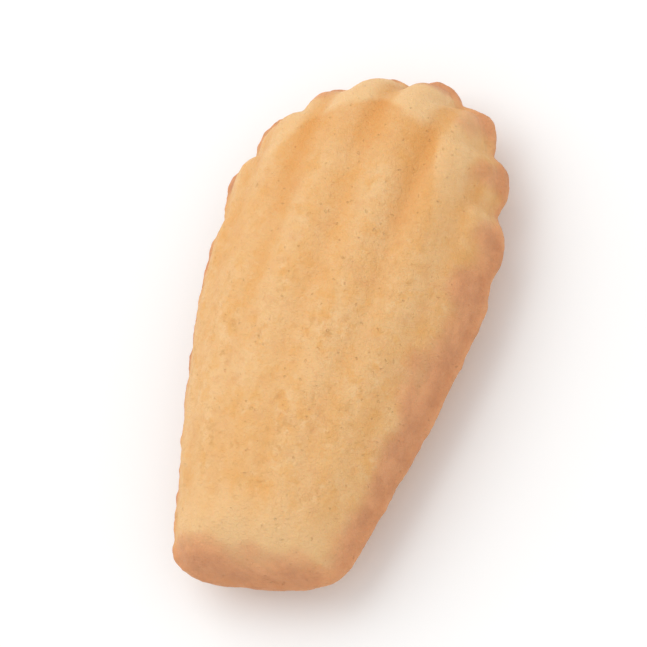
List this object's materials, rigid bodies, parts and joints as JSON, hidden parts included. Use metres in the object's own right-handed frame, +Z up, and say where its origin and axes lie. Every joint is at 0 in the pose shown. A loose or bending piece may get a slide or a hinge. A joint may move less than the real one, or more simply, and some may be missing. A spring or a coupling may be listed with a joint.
{
  "type": "madeleine cake",
  "caption": "Shell-shaped sponge cake: ribbed golden shell side up, scalloped broad end, narrow blunt end, rounded baked hump underneath.",
  "frame": {"origin": "centre of the bottom of the bounding box, on the floor under the flat spot of the hump", "axes": "+X across the cake, +Y along it towards the broad scalloped end, +Z up, away from the floor, to the ribbed shell side"},
  "size_m": [0.048, 0.088, 0.024],
  "materials": {
    "baked_sponge": "matt golden sponge crust, paler on the rib backs, darker orange-brown at the rim, the narrow end and underneath"
  },
  "bodies": {
    "root": {"madeleine": "baked_sponge"}
  },
  "joints": []
}
